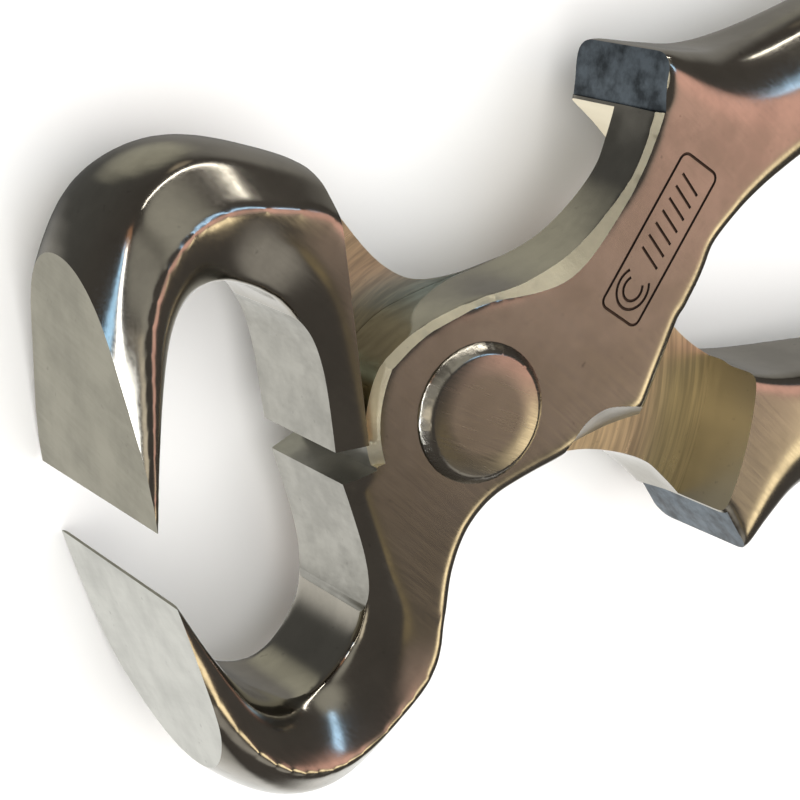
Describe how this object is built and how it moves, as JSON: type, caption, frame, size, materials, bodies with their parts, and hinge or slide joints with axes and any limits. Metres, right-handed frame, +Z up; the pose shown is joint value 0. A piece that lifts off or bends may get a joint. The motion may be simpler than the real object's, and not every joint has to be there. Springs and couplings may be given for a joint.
{
  "type": "hoof nipper",
  "caption": "Farrier's hoof nipper: hooked jaws with flat-ground outer bevels, half-lapped arms on a large peened rivet, horned shoulders and long bowed reins.",
  "frame": {"origin": "on the rivet's axis, at the middle of the lower rivet head's flat face", "axes": "+Z up the rivet's axis, +X from the joint to the rein ends along the tool's centre line, +Y towards the back arm's jaw"},
  "size_m": [0.376, 0.1506, 0.038],
  "materials": {
    "forged_head_steel": "polished forged steel, satin ground flats",
    "rein_steel": "polished forged steel, fine lengthwise grain",
    "rivet_steel": "faced and peened steel with brushed lines"
  },
  "bodies": {
    "front_arm": {"front_arm_forging": "forged_head_steel", "front_rein": "rein_steel", "pivot_rivet": "rivet_steel"},
    "back_arm": {"back_arm_forging": "forged_head_steel", "back_rein": "rein_steel"}
  },
  "joints": [
    {"name": "rivet_pivot", "type": "hinge", "parent": "front_arm", "child": "back_arm", "pos_m": [0, 0, 0.01335], "axis": [0, 0, 1], "range_deg": [-40, 11.4]}
  ]
}
